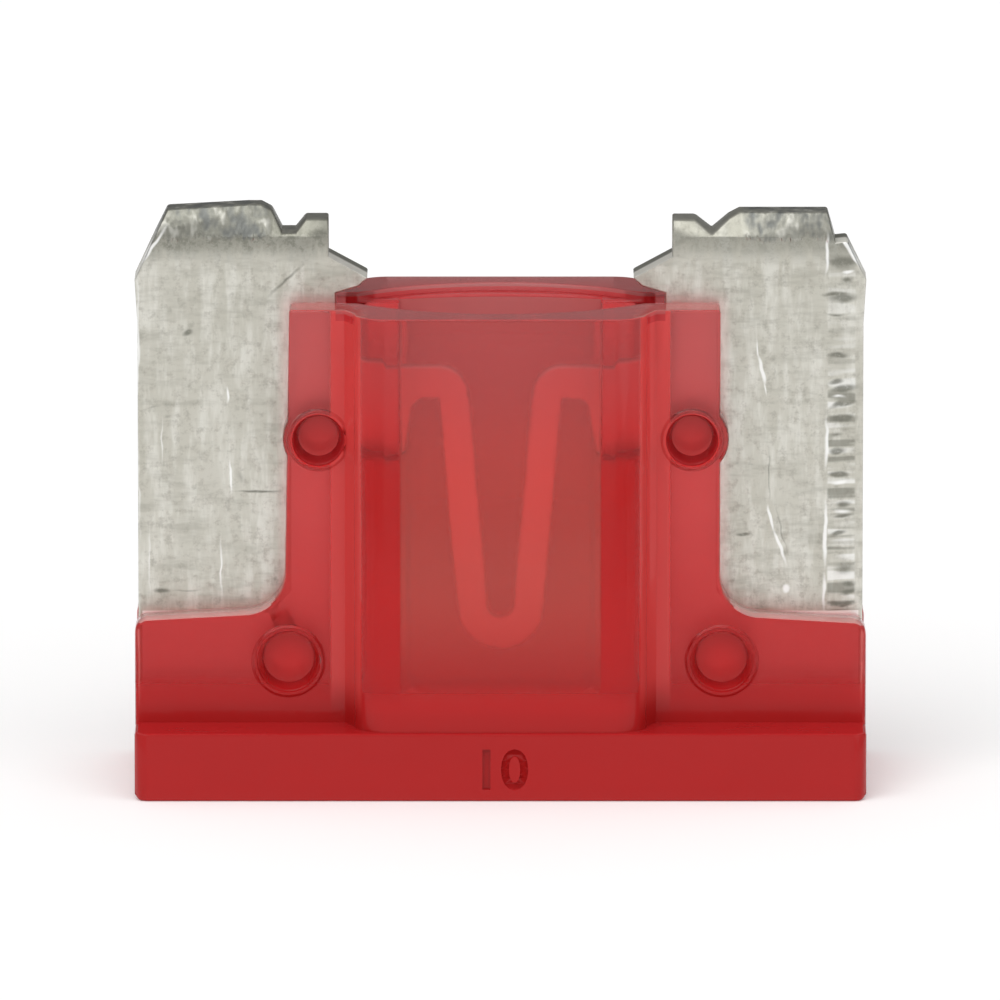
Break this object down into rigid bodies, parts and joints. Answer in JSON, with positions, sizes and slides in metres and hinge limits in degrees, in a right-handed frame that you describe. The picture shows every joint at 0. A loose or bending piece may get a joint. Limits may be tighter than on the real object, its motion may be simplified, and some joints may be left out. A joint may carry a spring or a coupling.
{
  "type": "automotive blade fuse",
  "caption": "Low-profile mini blade fuse: translucent red housing over a stamped metal element with flat blades and an M-shaped fuse link.",
  "frame": {"origin": "centre of the head's end face, on which the fuse stands", "axes": "+X across both blades, +Z from the head towards the blade tips, -Y the face that the picture shows"},
  "size_m": [0.011, 0.0038, 0.0087],
  "materials": {
    "red_plastic": "translucent red injection-moulded plastic, glossy, faintly rippled",
    "zinc_alloy": "rolled and stamped zinc alloy, satin, finely scratched, coined at the tips"
  },
  "bodies": {
    "root": {"housing": "red_plastic", "fuse_element": "zinc_alloy"}
  },
  "joints": []
}
